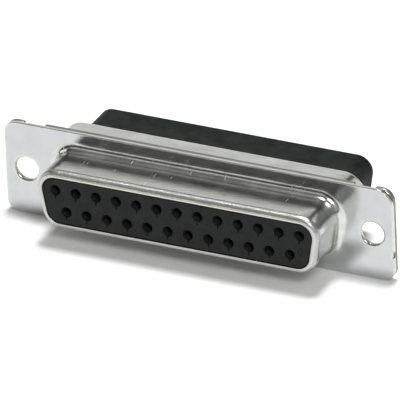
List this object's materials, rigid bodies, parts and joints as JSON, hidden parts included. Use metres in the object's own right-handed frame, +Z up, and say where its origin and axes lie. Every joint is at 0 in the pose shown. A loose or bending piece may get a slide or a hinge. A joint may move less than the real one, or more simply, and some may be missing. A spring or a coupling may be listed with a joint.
{
  "type": "d-sub socket connector",
  "caption": "D-shaped socket connector: flanged sheet-metal shells around a black insulator with staggered rows of pin entries, and a deep wire-side block.",
  "frame": {"origin": "centre of the flange's front face, midway between the two mounting holes", "axes": "+X along the flange, to the right as seen from the mating side; -Y out of the flange's front face, the way the mating skirt points; +Z up, towards the wide side of the D"},
  "size_m": [0.0528, 0.0175, 0.0126],
  "materials": {
    "front_shell_metal": "bright tin plate",
    "rear_shell_metal": "bright tin plate",
    "front_insulator_plastic": "moulded, fine texture",
    "rear_insulator_plastic": "moulded, fine texture",
    "contact_metal": "gold flash over copper alloy"
  },
  "bodies": {
    "root": {"front_shell": "front_shell_metal", "rear_shell": "rear_shell_metal", "front_insulator": "front_insulator_plastic", "rear_insulator": "rear_insulator_plastic", "contact_01": "contact_metal", "contact_02": "contact_metal", "contact_03": "contact_metal", "contact_04": "contact_metal", "contact_05": "contact_metal", "contact_06": "contact_metal", "contact_07": "contact_metal", "contact_08": "contact_metal", "contact_09": "contact_metal", "contact_10": "contact_metal", "contact_11": "contact_metal", "contact_12": "contact_metal", "contact_13": "contact_metal", "contact_14": "contact_metal", "contact_15": "contact_metal", "contact_16": "contact_metal", "contact_17": "contact_metal", "contact_18": "contact_metal", "contact_19": "contact_metal", "contact_20": "contact_metal", "contact_21": "contact_metal", "contact_22": "contact_metal", "contact_23": "contact_metal", "contact_24": "contact_metal", "contact_25": "contact_metal"}
  },
  "joints": []
}
